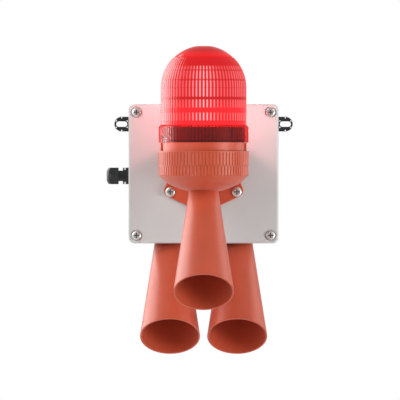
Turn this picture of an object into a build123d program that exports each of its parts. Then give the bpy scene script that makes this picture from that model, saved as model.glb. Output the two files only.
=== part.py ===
from build123d import *
import math
import os

os.makedirs("parts", exist_ok=True)

# A wall-mounted warning siren: a cast box with two horns under it, and a beacon on its lid with a third
# horn under the beacon. The wall is the plane Y = 0, the front faces -Y and Z is up. The origin is the
# centre of the box's back. All sizes are in millimetres.

# Box and lid
box_width = 172.8
box_height = 160.0
box_depth = 80.0
box_wall = 3.5
box_corner = 5.5
lid_overhang = 1.6
lid_depth = 10.0
lid_plate = 3.5
lid_round = 2.3
gasket_width = 2.0
gasket_depth = 1.6
gasket_inset = 0.65
lid_screw_inset = 9.3
lid_screw_shank = 2.5
lid_screw_head = 5.5
lid_screw_length = 22.0
lid_recess_radius = 6.8
lid_recess_depth = 0.8
corner_boss_radius = 5.5

# Wall lugs at the two upper corners
lug_thickness = 3.0
lug_radius = 8.7
lug_slot_length = 13.1
lug_slot_width = 6.4
lug_reach = 10.4
lug_level = 59.1
lug_hidden_length = 20.0
lug_hole_radius = 0.75
lug_hole_circle = 7.5
lug_pad_height = 3.0
lug_screw_head = 4.6
lug_screw_shank = 2.5
lug_screw_length = 5.5

# Cable gland in the left wall
gland_depth = 45.0
gland_level = -2.3
gland_thread_radius = 8.0
gland_bore_radius = 4.4
gland_across_flats = 19.5
gland_flange_length = 3.9
gland_groove_length = 1.2
gland_groove_radius = 7.2
gland_rim_length = 1.9
gland_neck_length = 5.1
gland_neck_radius = 6.3
gland_nut_length = 14.2
gland_nut_mouth = 5.0
gland_nut_round = 4.6
gland_thread_length = 9.0
gland_engagement = 6.0
gland_seal_length = 4.5
locknut_across_flats = 22.0
locknut_length = 4.5

# Horns, three straight cones of one mould, all pointing forwards and down
horn_tilt = 37.2
horn_half_angle = 7.0
horn_mouth_radius = 35.1
horn_wall = 1.8
horn_length = 160.0
front_horn_reach = 145.2
side_horn_reach = 137.9
side_horn_spacing = 78.5
side_horn_depth = 46.0

# What holds and drives the two side horns inside the box
grommet_wall = 3.0
grommet_lip = 2.5
grommet_lip_height = 1.5
socket_wall = 1.6
socket_ledge = 2.0
socket_throat_radius = 11.0
socket_flange_width = 58.0
socket_flange_length = 62.0
socket_flange_height = 3.0
socket_screw_inset = 5.5
driver_radius = 18.5
driver_height = 10.0
magnet_radius = 15.0
magnet_height = 9.0

# Small screws of the sockets, the board and the collar
small_screw_shank = 1.5
small_screw_head = 2.8

# Circuit board in the upper half of the box
board_width = 120.0
board_height = 70.0
board_thickness = 1.6
board_level = 20.0
board_screw_inset = 5.0
standoff_height = 8.0
standoff_radius = 3.5

# Beacon bracket on the lid
bracket_plate = 4.0
bracket_tip = 46.4
bracket_ear_x = 48.8
bracket_ear_z = -23.4
bracket_top_x = 28.6
bracket_top_z = 25.0
bracket_ear_round = 7.4
bracket_top_round = 5.0
bracket_tip_round = 9.0
bracket_arm_width = 34.0
bracket_arm_height = 26.0
bracket_arm_level = 1.5
bracket_arm_length = 5.0
bracket_low_screw = (39.1, -21.2)
bracket_high_screw = (24.2, 16.0)
bracket_screw_head = 5.9
bracket_screw_shank = 3.0
wire_hole_radius = 4.5
wire_hole_level = 1.5
base_screw_spacing = 23.0
base_screw_pad = 4.2
base_screw_shank = 2.0
base_screw_head = 3.4
base_screw_bite = 6.0
bracket_nut_height = 4.5
wire_grommet_wall = 1.5
wire_grommet_lip = 1.5

# Beacon base: a bowl, a collar above it, and the neck and spigot that carry the lens
beacon_standoff = 64.0
band_level = -2.0
band_radius = 52.4
lower_band_height = 11.3
seam_gap = 0.2
collar_radius = 52.8
upper_band_height = 17.0
neck_radius = 47.6
neck_height = 9.8
neck_tab_radius = 49.9
neck_tab_width = 5.0
spigot_radius = 48.0
spigot_height = 18.0
spigot_bore = 44.0
base_wall = 3.0
band_groove_count = 78
band_groove_width = 1.9
band_groove_depth = 0.9
band_rim = 0.5
bowl_shoulder_radius = 44.6
bowl_shoulder_drop = 7.6
bowl_sphere_radius = 84.6
bowl_foot_radius = 15.9
bowl_drop = 19.4
bowl_lip_height = 4.7
deck_level = 30.0
deck_thickness = 3.0
deck_hole_reach = 18.0
collar_post_circle = 41.0
collar_post_radius = 3.5
collar_screw_bite = 9.0

# Speaker in the bowl, facing down into the front horn
speaker_radius = 36.5
speaker_level = 3.0
speaker_flange = 2.0
speaker_screw_circle = 34.0
speaker_post_radius = 2.8
speaker_screw_head = 2.2
speaker_screw_shank = 1.2
speaker_screw_bite = 5.0
basket_wide_radius = 30.5
basket_narrow_radius = 19.0
basket_height = 12.5
basket_wall = 1.2
cone_thickness = 0.8
cone_height = 9.0
cone_top_radius = 9.0
speaker_magnet_radius = 17.5
speaker_magnet_height = 8.5

# Lens, its bayonet and its seal
lens_radius = 50.0
lens_wall = 2.7
skirt_radius = 52.4
skirt_height = 18.7
shoulder_height = 2.0
lens_straight = 42.9
crown_height = 35.5
crown_step = 0.4
crown_groove_depth = 0.9
crown_groove_angle = 1.6
crown_flat_radius = 8.5
lens_flute_count = 75
lens_flute_width = 2.2
lens_flute_depth = 0.7
skirt_flute_count = 78
skirt_flute_width = 1.7
skirt_flute_depth = 0.6
ring_depth = 1.3
ring_levels = (59.2, 73.8, 88.3, 100.7)
ring_heights = (5.2, 5.0, 3.4, 1.6)
bayonet_pegs = 4
bayonet_twist = 35.0
peg_angle = 9.0
peg_height = 3.0
peg_depth = 1.5
peg_level = 4.6
seal_height = 2.0
seal_width = 1.9
seal_level = 0.8

# Light source inside the lens
led_board_radius = 38.0
led_board_thickness = 1.6
led_post_height = 5.0
led_post_circle = 32.0
led_post_radius = 3.0
tower_radius = 13.0
tower_height = 78.0
tower_sides = 6
tower_cap_height = 3.0
tower_cap_lip = 2.0
led_rows = 5
led_size = 5.0
led_height = 1.4
led_end_margin = 9.0

# Clearances
slide_clearance = 0.3
running_clearance = 0.08
seat_clearance = 0.1

# Places that follow from the sizes above
lid_width = box_width + 2 * lid_overhang
lid_height = box_height + 2 * lid_overhang
lid_corner = box_corner + lid_overhang
lid_front = box_depth + lid_depth
lid_back = lid_front - lid_plate
lid_screw_x = lid_width / 2 - lid_screw_inset
lid_screw_z = lid_height / 2 - lid_screw_inset
rim_inner_width = box_width - 2 * box_wall
rim_inner_height = box_height - 2 * box_wall
box_floor = -box_height / 2 + box_wall
lug_x = box_width / 2 + lug_reach
lug_inner_x = box_width / 2 - lug_hidden_length
beacon_y = -(lid_front + beacon_standoff)
seam_level = band_level + lower_band_height
bowl_centre = band_level - bowl_shoulder_drop + math.sqrt(bowl_sphere_radius**2 - bowl_shoulder_radius**2)
collar_bottom = seam_level + seam_gap
collar_top = collar_bottom + upper_band_height
skirt_bottom = collar_top + neck_height
skirt_top = skirt_bottom + skirt_height
shoulder_top = skirt_top + shoulder_height
dome_level = shoulder_top + lens_straight
lens_bore = spigot_radius + slide_clearance
spigot_top = skirt_bottom + spigot_height
deck_top = deck_level + deck_thickness
board_depth = box_wall + standoff_height
board_front = board_depth + board_thickness
arm_front = lid_front + bracket_plate + bracket_arm_length

horn_up = Vector(0, math.sin(math.radians(horn_tilt)), math.cos(math.radians(horn_tilt)))
front_crossing = Vector(0, beacon_y, band_level - bowl_drop)
side_crossings = {
    "left": Vector(-side_horn_spacing / 2, -side_horn_depth, -box_height / 2),
    "right": Vector(side_horn_spacing / 2, -side_horn_depth, -box_height / 2),
}
socket_top = horn_length + socket_ledge


def profile_plane(origin, along=(0, 0, 1), across=(1, 0, 0)):
    """Plane for a turned profile, with its X across the axis and its Y along it."""
    return Plane(origin=origin, x_dir=across, z_dir=Vector(*across).cross(Vector(*along)))


def front_place(x, z, depth):
    """Place on a plane parallel to the wall, facing the viewer."""
    return Plane(origin=(x, -depth, z), x_dir=(1, 0, 0), z_dir=(0, -1, 0)).location


def horn_radius(distance):
    """Outer radius of a horn at a distance from its mouth."""
    return horn_mouth_radius - distance * math.tan(math.radians(horn_half_angle))


def horn_plane(mouth, distance):
    """Plane across a horn's axis at a distance from its mouth."""
    return Plane(origin=mouth + horn_up * distance, x_dir=(1, 0, 0), z_dir=horn_up)


def horn_space(mouth, clearance, start, end):
    """The cone that a horn fills, with a clearance round it, between two distances from its mouth."""
    with BuildPart() as space:
        with BuildSketch(profile_plane(mouth, along=horn_up)):
            with BuildLine():
                Polyline(
                    (0, start),
                    (horn_radius(start) + clearance, start),
                    (horn_radius(end) + clearance, end),
                    (0, end),
                    close=True,
                )
            make_face()
        revolve(axis=Axis(mouth, horn_up))
    return space.part


def tilted_slice(crossing, radius, low, high):
    """The slice between two levels of a cylinder that lies along a horn's axis."""
    with BuildPart() as piece:
        with BuildSketch(Plane(origin=crossing, x_dir=(1, 0, 0), z_dir=horn_up)):
            Circle(radius)
        extrude(amount=horn_length, both=True)
        with BuildSketch(Plane.XY.offset(low)):
            Rectangle(4 * horn_length, 4 * horn_length)
        extrude(amount=high - low, mode=Mode.INTERSECT)
    return piece.part


def cross_head_screw(head_radius, shank_radius, length):
    """A pan head screw with a cross recess, its seat at Z = 0 and its shank along -Z."""
    head_height = 0.62 * head_radius
    edge_height = 0.35 * head_height
    cross_length = 1.05 * head_radius
    cross_width = 0.22 * head_radius
    flat_radius = 0.58 * head_radius
    with BuildPart() as screw:
        with BuildSketch(Plane.XZ):
            with BuildLine():
                Polyline(
                    (0, head_height),
                    (0, -length),
                    (shank_radius, -length),
                    (shank_radius, 0),
                    (head_radius, 0),
                    (head_radius, edge_height),
                )
                ThreePointArc(
                    (head_radius, edge_height),
                    (0.88 * head_radius, 0.82 * head_height),
                    (flat_radius, head_height),
                )
                Line((flat_radius, head_height), (0, head_height))
            make_face()
        revolve(axis=Axis.Z)
        with BuildSketch(Plane.XY.offset(head_height)):
            Rectangle(cross_length, cross_width)
            Rectangle(cross_width, cross_length)
        extrude(amount=-0.7 * head_height, mode=Mode.SUBTRACT)
    return screw.part


def plain_screw(head_radius, shank_radius, length):
    """A small cheese head screw, its seat at Z = 0 and its shank along -Z."""
    with BuildPart() as screw:
        with BuildSketch():
            Circle(head_radius)
        extrude(amount=head_radius)
        with BuildSketch():
            Circle(shank_radius)
        extrude(amount=-length)
    return screw.part


def bowl_point(radius, inset):
    """Point of the bowl's round bottom at a radius, on its outside or a wall's thickness inside it."""
    return (radius, bowl_centre - math.sqrt((bowl_sphere_radius - inset) ** 2 - radius**2))


def flute_sketch(radius, count, width, depth, phase):
    """Triangles round the beacon's axis, each with its tip a depth inside a radius."""
    outside = 0.3
    half = 0.5 * width * (depth + outside) / depth
    with Locations((0, beacon_y)):
        with PolarLocations(radius, count, start_angle=phase):
            Polygon((outside, -half), (outside, half), (-depth, 0), align=None)


def ring_sketch(outer_inset, inner_inset):
    """A rectangular ring between two insets from the outline of the body."""
    RectangleRounded(box_width - 2 * outer_inset, box_height - 2 * outer_inset, box_corner - outer_inset)
    RectangleRounded(
        box_width - 2 * inner_inset,
        box_height - 2 * inner_inset,
        box_corner - inner_inset,
        mode=Mode.SUBTRACT,
    )


# Enclosure body: back, four walls, bosses for the lid, pads behind the lugs and holes for the horns
with BuildPart() as enclosure_body:
    with BuildSketch(Plane.XZ):
        RectangleRounded(box_width, box_height, box_corner)
    extrude(amount=box_depth)
    with BuildSketch(Plane.XZ.offset(box_wall)):
        RectangleRounded(rim_inner_width, rim_inner_height, box_corner - box_wall)
    extrude(amount=box_depth - box_wall, mode=Mode.SUBTRACT)
    with BuildSketch(Plane.XZ.offset(box_wall / 2)):
        with GridLocations(2 * lid_screw_x, 2 * lid_screw_z, 2, 2):
            Circle(corner_boss_radius)
    extrude(amount=box_depth - box_wall / 2)
    with BuildSketch(Plane.XZ.offset(box_wall / 2)):
        for side in (-1, 1):
            with Locations((side * (lug_inner_x + lug_hidden_length / 2 - box_wall), lug_level)):
                RectangleRounded(lug_hidden_length, 2 * lug_radius + 6, 2)
    extrude(amount=box_wall / 2 + lug_pad_height)
    with BuildSketch(Plane.XZ):
        for side in (-1, 1):
            with Locations((side * (lug_inner_x + lug_x) / 2, lug_level)):
                Rectangle(lug_x - lug_inner_x, 2 * (lug_radius + seat_clearance))
    extrude(amount=lug_thickness, mode=Mode.SUBTRACT)
    with BuildSketch(Plane.XZ.offset(lug_thickness)):
        for side in (-1, 1):
            with Locations((side * (lug_inner_x + lug_radius), lug_level)):
                Circle(lug_screw_shank + seat_clearance)
    extrude(amount=lug_screw_length, mode=Mode.SUBTRACT)
    with BuildSketch(Plane.XZ.offset(box_depth)):
        with GridLocations(2 * lid_screw_x, 2 * lid_screw_z, 2, 2):
            Circle(lid_screw_shank + seat_clearance)
    extrude(amount=-lid_screw_length, mode=Mode.SUBTRACT)
    gland_hole = Plane(origin=(-box_width / 2, -gland_depth, gland_level), x_dir=(0, 1, 0), z_dir=(-1, 0, 0))
    with BuildSketch(gland_hole):
        Circle(gland_thread_radius + seat_clearance)
    extrude(amount=-2 * box_wall, mode=Mode.SUBTRACT)
    for crossing in side_crossings.values():
        hole_radius = horn_radius(side_horn_reach) + grommet_wall
        add(tilted_slice(crossing, hole_radius, crossing.Z - box_wall, box_floor + 1), mode=Mode.SUBTRACT)
    with BuildSketch(Plane.XY.offset(box_floor)):
        for crossing in side_crossings.values():
            with Locations((crossing.X, crossing.Y + box_wall)):
                with GridLocations(
                    socket_flange_width - 2 * socket_screw_inset,
                    socket_flange_length - 2 * socket_screw_inset,
                    2,
                    2,
                ):
                    Circle(small_screw_shank + seat_clearance)
    extrude(amount=-0.8 * box_wall, mode=Mode.SUBTRACT)
enclosure_body.part.label = "enclosure_body"
export_step(enclosure_body.part, "parts/enclosure_body.step")

# Lid: a shallow tray with a rounded front edge, a gasket groove, and a recess for each screw head
with BuildPart() as lid:
    with BuildSketch(Plane.XZ.offset(box_depth)):
        RectangleRounded(lid_width, lid_height, lid_corner)
    extrude(amount=lid_depth)
    fillet(lid.faces().sort_by(Axis.Y)[0].outer_wire().edges(), lid_round)
    with BuildSketch(Plane.XZ.offset(box_depth)):
        RectangleRounded(rim_inner_width, rim_inner_height, box_corner - box_wall)
        with GridLocations(2 * lid_screw_x, 2 * lid_screw_z, 2, 2):
            Circle(corner_boss_radius, mode=Mode.SUBTRACT)
    extrude(amount=lid_depth - lid_plate, mode=Mode.SUBTRACT)
    with BuildSketch(Plane.XZ.offset(box_depth)):
        ring_sketch(gasket_inset, gasket_inset + gasket_width + 2 * seat_clearance)
    extrude(amount=gasket_depth, mode=Mode.SUBTRACT)
    with BuildSketch(Plane.XZ.offset(lid_front)):
        with GridLocations(2 * lid_screw_x, 2 * lid_screw_z, 2, 2):
            Circle(lid_recess_radius)
    extrude(amount=-lid_recess_depth, mode=Mode.SUBTRACT)
    with BuildSketch(Plane.XZ.offset(box_depth)):
        with GridLocations(2 * lid_screw_x, 2 * lid_screw_z, 2, 2):
            Circle(lid_screw_shank + seat_clearance)
        with Locations(bracket_low_screw, bracket_high_screw):
            Circle(bracket_screw_shank + seat_clearance)
        mirror(about=Plane.YZ)
        with Locations((0, wire_hole_level)):
            Circle(wire_hole_radius + wire_grommet_wall)
    extrude(amount=lid_depth, mode=Mode.SUBTRACT)
lid.part.label = "lid"
export_step(lid.part, "parts/lid.step")

# Rubber gasket in the lid's groove, pressed on the rim of the body
with BuildPart() as lid_gasket:
    with BuildSketch(Plane.XZ.offset(box_depth)):
        ring_sketch(gasket_inset + seat_clearance, gasket_inset + seat_clearance + gasket_width)
    extrude(amount=gasket_depth)
lid_gasket.part.label = "lid_gasket"
export_step(lid_gasket.part, "parts/lid_gasket.step")

# Four lid screws, one in each corner recess
lid_screw = cross_head_screw(lid_screw_head, lid_screw_shank, lid_screw_length)
with BuildPart() as lid_screws:
    for x in (-lid_screw_x, lid_screw_x):
        for z in (-lid_screw_z, lid_screw_z):
            with Locations(front_place(x, z, lid_front - lid_recess_depth)):
                add(lid_screw)
lid_screws.part.label = "lid_screws"
export_step(lid_screws.part, "parts/lid_screws.step")

# Wall lugs: a flat plate with a round end, a slot, six small holes round it and a countersunk fixing hole
for side, name in ((-1, "lug_left"), (1, "lug_right")):
    with BuildPart() as lug:
        with BuildSketch(Plane.XZ):
            with Locations((side * (lug_inner_x + lug_x) / 2, lug_level)):
                Rectangle(lug_x - lug_inner_x, 2 * lug_radius)
            with Locations((side * lug_x, lug_level)):
                Circle(lug_radius)
                SlotOverall(lug_slot_length, lug_slot_width, mode=Mode.SUBTRACT)
                with PolarLocations(lug_hole_circle, 6, start_angle=30):
                    Circle(lug_hole_radius, mode=Mode.SUBTRACT)
        extrude(amount=lug_thickness)
        with BuildSketch(profile_plane((side * (lug_inner_x + lug_radius), 0, lug_level), along=(0, -1, 0))):
            with BuildLine():
                Polyline(
                    (0, 0),
                    (lug_screw_head + seat_clearance, 0),
                    (lug_screw_shank + seat_clearance, lug_screw_head - lug_screw_shank),
                    (lug_screw_shank + seat_clearance, lug_thickness),
                    (0, lug_thickness),
                    close=True,
                )
            make_face()
        revolve(
            axis=Axis((side * (lug_inner_x + lug_radius), 0, lug_level), (0, -1, 0)),
            mode=Mode.SUBTRACT,
        )
    lug.part.label = name
    export_step(lug.part, f"parts/{name}.step")

# Countersunk screws that fix the lugs from behind
with BuildPart() as lug_screws:
    for side in (-1, 1):
        with BuildSketch(profile_plane((side * (lug_inner_x + lug_radius), 0, lug_level), along=(0, -1, 0))):
            with BuildLine():
                Polyline(
                    (0, 0),
                    (lug_screw_head, 0),
                    (lug_screw_shank, lug_screw_head - lug_screw_shank),
                    (lug_screw_shank, lug_screw_length),
                    (0, lug_screw_length),
                    close=True,
                )
            make_face()
        revolve(axis=Axis((side * (lug_inner_x + lug_radius), 0, lug_level), (0, -1, 0)))
lug_screws.part.label = "lug_screws"
export_step(lug_screws.part, "parts/lug_screws.step")

# Cable gland. Distances along it are measured outwards from the left wall.
gland_origin = Vector(-box_width / 2, -gland_depth, gland_level)
gland_axis = Axis(gland_origin, (-1, 0, 0))
gland_across = Plane(origin=gland_origin, x_dir=(0, 1, 0), z_dir=(-1, 0, 0))
gland_profile = profile_plane(gland_origin, along=(-1, 0, 0), across=(0, 0, 1))
washer_end = lid_overhang
flange_end = washer_end + gland_flange_length
groove_end = flange_end + gland_groove_length
rim_end = groove_end + gland_rim_length
neck_end = rim_end + gland_neck_length
nut_end = neck_end + gland_nut_length
thread_end = neck_end + gland_engagement

with BuildPart() as gland_body:
    with BuildSketch(gland_across.offset(washer_end)):
        RegularPolygon(gland_across_flats / 2, 6, major_radius=False)
    extrude(amount=gland_flange_length)
    with BuildSketch(gland_profile):
        with BuildLine():
            Polyline(
                (gland_bore_radius, -gland_thread_length),
                (gland_thread_radius, -gland_thread_length),
                (gland_thread_radius, flange_end),
                (gland_groove_radius, flange_end),
                (gland_groove_radius, groove_end),
                (gland_across_flats / 2, groove_end),
                (gland_across_flats / 2, rim_end),
                (gland_neck_radius, rim_end),
                (gland_neck_radius, thread_end),
                (gland_bore_radius, thread_end),
                close=True,
            )
        make_face()
    revolve(axis=gland_axis)
    with BuildSketch(gland_across.offset(-gland_thread_length)):
        Circle(gland_bore_radius)
    extrude(amount=gland_thread_length + thread_end, mode=Mode.SUBTRACT)
gland_body.part.label = "gland_body"
export_step(gland_body.part, "parts/gland_body.step")

with BuildPart() as gland_washer:
    with BuildSketch(gland_across):
        Circle(gland_across_flats / 2)
        Circle(gland_thread_radius + seat_clearance, mode=Mode.SUBTRACT)
    extrude(amount=washer_end)
gland_washer.part.label = "gland_washer"
export_step(gland_washer.part, "parts/gland_washer.step")

with BuildPart() as gland_locknut:
    with BuildSketch(gland_across.offset(-box_wall)):
        RegularPolygon(locknut_across_flats / 2, 6, major_radius=False)
        Circle(gland_thread_radius + seat_clearance, mode=Mode.SUBTRACT)
    extrude(amount=-locknut_length)
gland_locknut.part.label = "gland_locknut"
export_step(gland_locknut.part, "parts/gland_locknut.step")

# Rubber insert between the end of the gland's thread and the dome of its nut
with BuildPart() as gland_seal:
    with BuildSketch(gland_across.offset(thread_end)):
        Circle(gland_neck_radius - slide_clearance)
        Circle(gland_bore_radius, mode=Mode.SUBTRACT)
    extrude(amount=gland_seal_length)
gland_seal.part.label = "gland_seal"
export_step(gland_seal.part, "parts/gland_seal.step")

# Dome nut: a hexagon whose outer end is turned round
with BuildPart() as gland_nut:
    with BuildSketch(gland_across.offset(neck_end)):
        RegularPolygon(gland_across_flats / 2, 6, major_radius=False)
    extrude(amount=gland_nut_length)
    corner_radius = gland_across_flats / math.sqrt(3)
    with BuildSketch(gland_profile):
        with BuildLine():
            Polyline(
                (0, nut_end),
                (0, neck_end),
                (corner_radius, neck_end),
                (corner_radius, nut_end - 1.6 * gland_nut_round),
            )
            ThreePointArc(
                (corner_radius, nut_end - 1.6 * gland_nut_round),
                (gland_nut_mouth + gland_nut_round, nut_end - 0.62 * gland_nut_round),
                (gland_nut_mouth, nut_end),
            )
            Line((gland_nut_mouth, nut_end), (0, nut_end))
        make_face()
    revolve(axis=gland_axis, mode=Mode.INTERSECT)
    with BuildSketch(gland_across.offset(neck_end)):
        Circle(gland_neck_radius + running_clearance)
    extrude(amount=gland_engagement + gland_seal_length + slide_clearance, mode=Mode.SUBTRACT)
    with BuildSketch(gland_across.offset(neck_end)):
        Circle(gland_bore_radius)
    extrude(amount=gland_nut_length, mode=Mode.SUBTRACT)
gland_nut.part.label = "gland_nut"
export_step(gland_nut.part, "parts/gland_nut.step")

# Horns: thin straight cones, open at both ends
horn_mouths = {"front": front_crossing - horn_up * front_horn_reach}
for name, crossing in side_crossings.items():
    horn_mouths[name] = crossing - horn_up * side_horn_reach
for name, mouth in horn_mouths.items():
    slant_wall = horn_wall / math.cos(math.radians(horn_half_angle))
    with BuildPart() as horn:
        with BuildSketch(profile_plane(mouth, along=horn_up)):
            with BuildLine():
                Polyline(
                    (horn_radius(0) - slant_wall, 0),
                    (horn_radius(0), 0),
                    (horn_radius(horn_length), horn_length),
                    (horn_radius(horn_length) - slant_wall, horn_length),
                    close=True,
                )
            make_face()
        revolve(axis=Axis(mouth, horn_up))
    horn.part.label = f"horn_{name}"
    export_step(horn.part, f"parts/horn_{name}.step")

# Inside the box each side horn passes a rubber grommet and ends in a moulded socket under its driver
for name, crossing in side_crossings.items():
    mouth = horn_mouths[name]
    grommet_radius = horn_radius(side_horn_reach) + grommet_wall - seat_clearance
    lip_bottom = crossing.Z - grommet_lip_height
    with BuildPart() as grommet:
        add(tilted_slice(crossing, grommet_radius, lip_bottom, box_floor))
        add(tilted_slice(crossing, grommet_radius + grommet_lip, lip_bottom, crossing.Z))
        add(
            horn_space(mouth, seat_clearance, side_horn_reach / 2, horn_length),
            mode=Mode.SUBTRACT,
        )
    grommet.part.label = f"horn_grommet_{name}"
    export_step(grommet.part, f"parts/horn_grommet_{name}.step")

    with BuildPart() as socket:
        with BuildSketch(horn_plane(mouth, socket_top)):
            Circle(horn_radius(side_horn_reach) + socket_wall)
        extrude(amount=-horn_length / 4)
        with BuildSketch(Plane.XY.offset(box_floor)):
            with Locations((crossing.X, crossing.Y)):
                Rectangle(horn_length, horn_length)
        extrude(amount=-horn_length / 4, mode=Mode.SUBTRACT)
        with BuildSketch(Plane.XY.offset(box_floor)):
            with Locations((crossing.X, crossing.Y + box_wall)):
                RectangleRounded(socket_flange_width, socket_flange_length, socket_screw_inset)
                with GridLocations(
                    socket_flange_width - 2 * socket_screw_inset,
                    socket_flange_length - 2 * socket_screw_inset,
                    2,
                    2,
                ):
                    Circle(small_screw_shank + seat_clearance, mode=Mode.SUBTRACT)
        extrude(amount=socket_flange_height)
        add(
            horn_space(mouth, seat_clearance, side_horn_reach / 2, horn_length),
            mode=Mode.SUBTRACT,
        )
        with BuildSketch(horn_plane(mouth, horn_length)):
            Circle(socket_throat_radius)
        extrude(amount=socket_ledge, mode=Mode.SUBTRACT)
    socket.part.label = f"horn_socket_{name}"
    export_step(socket.part, f"parts/horn_socket_{name}.step")

    with BuildPart() as driver:
        with BuildSketch(horn_plane(mouth, socket_top)):
            Circle(driver_radius)
        extrude(amount=driver_height)
        chamfer(driver.edges().group_by(Axis((0, 0, 0), horn_up))[-1], 1.5)
        with BuildSketch(horn_plane(mouth, socket_top)):
            Circle(socket_throat_radius)
        extrude(amount=driver_height / 2, mode=Mode.SUBTRACT)
    driver.part.label = f"driver_{name}"
    export_step(driver.part, f"parts/driver_{name}.step")

    with BuildPart() as driver_magnet:
        with BuildSketch(horn_plane(mouth, socket_top + driver_height)):
            Circle(magnet_radius)
        extrude(amount=magnet_height)
        with BuildSketch(horn_plane(mouth, socket_top + driver_height + magnet_height)):
            Circle(magnet_radius - 4)
        extrude(amount=-1, mode=Mode.SUBTRACT)
    driver_magnet.part.label = f"driver_magnet_{name}"
    export_step(driver_magnet.part, f"parts/driver_magnet_{name}.step")

# Screws that hold the sockets to the floor of the box
socket_screw = plain_screw(small_screw_head, small_screw_shank, socket_flange_height + 0.8 * box_wall)
with BuildPart() as socket_screws:
    for crossing in side_crossings.values():
        with Locations((crossing.X, crossing.Y + box_wall, box_floor + socket_flange_height)):
            with GridLocations(
                socket_flange_width - 2 * socket_screw_inset,
                socket_flange_length - 2 * socket_screw_inset,
                2,
                2,
            ):
                add(socket_screw)
socket_screws.part.label = "socket_screws"
export_step(socket_screws.part, "parts/socket_screws.step")

# Circuit board on four threaded standoffs, with its larger parts
board_hole_spacing_x = board_width - 2 * board_screw_inset
board_hole_spacing_z = board_height - 2 * board_screw_inset
with BuildPart() as board_standoffs:
    with BuildSketch(Plane.XZ.offset(box_wall)):
        with Locations((0, board_level)):
            with GridLocations(board_hole_spacing_x, board_hole_spacing_z, 2, 2):
                RegularPolygon(standoff_radius, 6)
                Circle(small_screw_shank + seat_clearance, mode=Mode.SUBTRACT)
    extrude(amount=standoff_height)
board_standoffs.part.label = "board_standoffs"
export_step(board_standoffs.part, "parts/board_standoffs.step")

with BuildPart() as control_board:
    with BuildSketch(Plane.XZ.offset(board_depth)):
        with Locations((0, board_level)):
            RectangleRounded(board_width, board_height, 3)
            with GridLocations(board_hole_spacing_x, board_hole_spacing_z, 2, 2):
                Circle(small_screw_shank + seat_clearance, mode=Mode.SUBTRACT)
    extrude(amount=board_thickness)
control_board.part.label = "control_board"
export_step(control_board.part, "parts/control_board.step")

board_screw = plain_screw(small_screw_head, small_screw_shank, board_thickness + standoff_height / 2)
with BuildPart() as board_screws:
    for x in (-board_hole_spacing_x / 2, board_hole_spacing_x / 2):
        for z in (-board_hole_spacing_z / 2, board_hole_spacing_z / 2):
            with Locations(front_place(x, board_level + z, board_front)):
                add(board_screw)
board_screws.part.label = "board_screws"
export_step(board_screws.part, "parts/board_screws.step")

terminal_pitch = 7.5
terminal_ways = 6
terminal_x = -board_width / 2 + 14
with BuildPart() as terminal_block:
    with BuildSketch(Plane.XZ.offset(board_front)):
        with Locations((terminal_x, board_level)):
            Rectangle(12, terminal_ways * terminal_pitch)
    extrude(amount=11)
    chamfer(terminal_block.edges().filter_by(Axis.Z).group_by(Axis.Y)[0], 2.5)
    with BuildSketch(Plane.XZ.offset(board_front + 11)):
        with Locations((terminal_x, board_level)):
            with GridLocations(1, terminal_pitch, 1, terminal_ways):
                Circle(2)
    extrude(amount=-4, mode=Mode.SUBTRACT)
    with BuildSketch(Plane.YZ.offset(terminal_x - 6)):
        with Locations((-board_front - 3.5, board_level)):
            with GridLocations(1, terminal_pitch, 1, terminal_ways):
                Rectangle(4, 4.5)
    extrude(amount=5, mode=Mode.SUBTRACT)
terminal_block.part.label = "terminal_block"
export_step(terminal_block.part, "parts/terminal_block.step")

with BuildPart() as capacitors:
    with BuildSketch(Plane.XZ.offset(board_front)):
        with Locations((-18, board_level - 20), (0, board_level - 20), (18, board_level - 20)):
            Circle(6.3)
    extrude(amount=20)
capacitors.part.label = "capacitors"
export_step(capacitors.part, "parts/capacitors.step")

with BuildPart() as relay:
    with BuildSketch(Plane.XZ.offset(board_front)):
        with Locations((42, board_level - 18)):
            Rectangle(19, 15.5)
    extrude(amount=15)
    fillet(relay.edges().filter_by(Axis.Y), 1)
relay.part.label = "relay"
export_step(relay.part, "parts/relay.step")

fin_count = 7
fin_pitch = 8.0
heatsink_width = (fin_count - 1) * fin_pitch + 2
with BuildPart() as amplifier_heatsink:
    with BuildSketch(Plane.XZ.offset(board_front)):
        with Locations((8, board_level + 14)):
            Rectangle(heatsink_width, 26)
    extrude(amount=4)
    with BuildSketch(Plane.XZ.offset(board_front + 4)):
        with Locations((8, board_level + 14)):
            with GridLocations(fin_pitch, 1, fin_count, 1):
                Rectangle(2, 26)
    extrude(amount=16)
amplifier_heatsink.part.label = "amplifier_heatsink"
export_step(amplifier_heatsink.part, "parts/amplifier_heatsink.step")

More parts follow.
